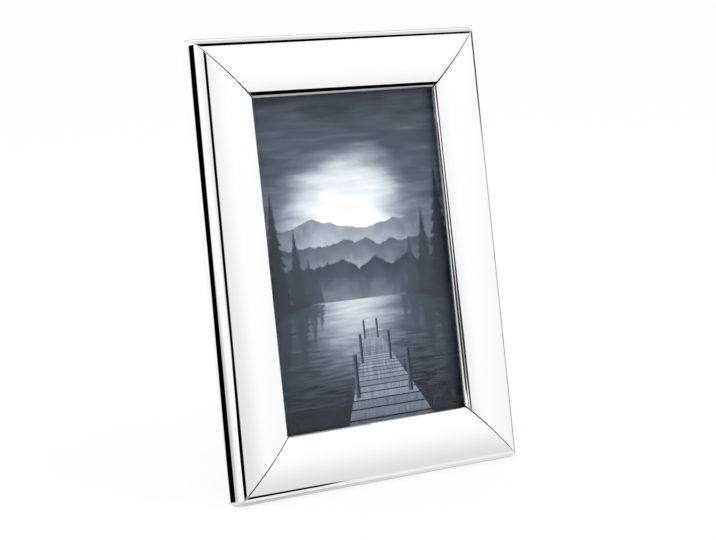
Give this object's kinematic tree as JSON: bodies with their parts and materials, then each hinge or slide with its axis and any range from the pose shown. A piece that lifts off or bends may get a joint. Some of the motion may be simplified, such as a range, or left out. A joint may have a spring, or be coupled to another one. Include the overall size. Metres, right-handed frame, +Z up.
{
  "type": "photo frame",
  "caption": "Free-standing upright photo frame: mitred bowed metal rails hold glass, a print and a back board with turn buttons, and a hinged strut folds flat.",
  "frame": {"origin": "middle of the object's bounding box at table height", "axes": "+Z up, +X to the right of a person who faces the glass, +Y to the back, where the strut stands"},
  "size_m": [0.141, 0.0644, 0.1884],
  "materials": {
    "polished_steel": "mirror polished",
    "cast_aluminium": "as cast",
    "plated_steel": "bright nickel plated",
    "clear_glass": "clear, polished",
    "photo_paper": "glossy resin-coated photo paper",
    "white_card": "plain paper card",
    "black_velour": "fibreboard covered in black velour"
  },
  "bodies": {
    "frame": {"bottom_rail": "polished_steel", "left_rail": "polished_steel", "right_rail": "polished_steel", "top_rail": "polished_steel", "corner_key_bottom_left": "cast_aluminium", "corner_key_bottom_right": "cast_aluminium", "corner_key_top_left": "cast_aluminium", "corner_key_top_right": "cast_aluminium", "key_screw_bottom_left_a": "plated_steel", "key_screw_bottom_left_b": "plated_steel", "key_screw_bottom_right_a": "plated_steel", "key_screw_bottom_right_b": "plated_steel", "key_screw_top_left_a": "plated_steel", "key_screw_top_left_b": "plated_steel", "key_screw_top_right_a": "plated_steel", "key_screw_top_right_b": "plated_steel", "glass_pane": "clear_glass", "photo_print": "photo_paper", "backing_card": "white_card", "back_board": "black_velour", "turn_button_rivet_left_lower": "plated_steel", "turn_button_rivet_left_upper": "plated_steel", "turn_button_rivet_right_lower": "plated_steel", "turn_button_rivet_right_upper": "plated_steel", "hinge_leaf_fixed": "plated_steel", "hinge_pin": "plated_steel", "board_rivet_left": "plated_steel", "board_rivet_right": "plated_steel"},
    "strut": {"strut": "black_velour", "hinge_leaf_moving": "plated_steel", "strut_rivet_a": "plated_steel", "strut_rivet_b": "plated_steel"},
    "turn_button_left_lower": {"turn_button_left_lower": "plated_steel"},
    "turn_button_left_upper": {"turn_button_left_upper": "plated_steel"},
    "turn_button_right_lower": {"turn_button_right_lower": "plated_steel"},
    "turn_button_right_upper": {"turn_button_right_upper": "plated_steel"}
  },
  "joints": [
    {"name": "strut_hinge", "type": "hinge", "parent": "frame", "child": "strut", "pos_m": [0, 0.00551, 0.1244], "axis": [1, 0, 0], "range_deg": [-23, 0]},
    {"name": "turn_button_left_lower_pivot", "type": "hinge", "parent": "frame", "child": "turn_button_left_lower", "pos_m": [-0.06, -0.01166, 0.0523], "axis": [0, 0.9781, -0.2079], "continuous": true},
    {"name": "turn_button_left_upper_pivot", "type": "hinge", "parent": "frame", "child": "turn_button_left_upper", "pos_m": [-0.06, 0.0058, 0.13446], "axis": [0, 0.9781, -0.2079], "continuous": true},
    {"name": "turn_button_right_lower_pivot", "type": "hinge", "parent": "frame", "child": "turn_button_right_lower", "pos_m": [0.06, -0.01166, 0.0523], "axis": [0, 0.9781, -0.2079], "continuous": true},
    {"name": "turn_button_right_upper_pivot", "type": "hinge", "parent": "frame", "child": "turn_button_right_upper", "pos_m": [0.06, 0.0058, 0.13446], "axis": [0, 0.9781, -0.2079], "continuous": true}
  ]
}
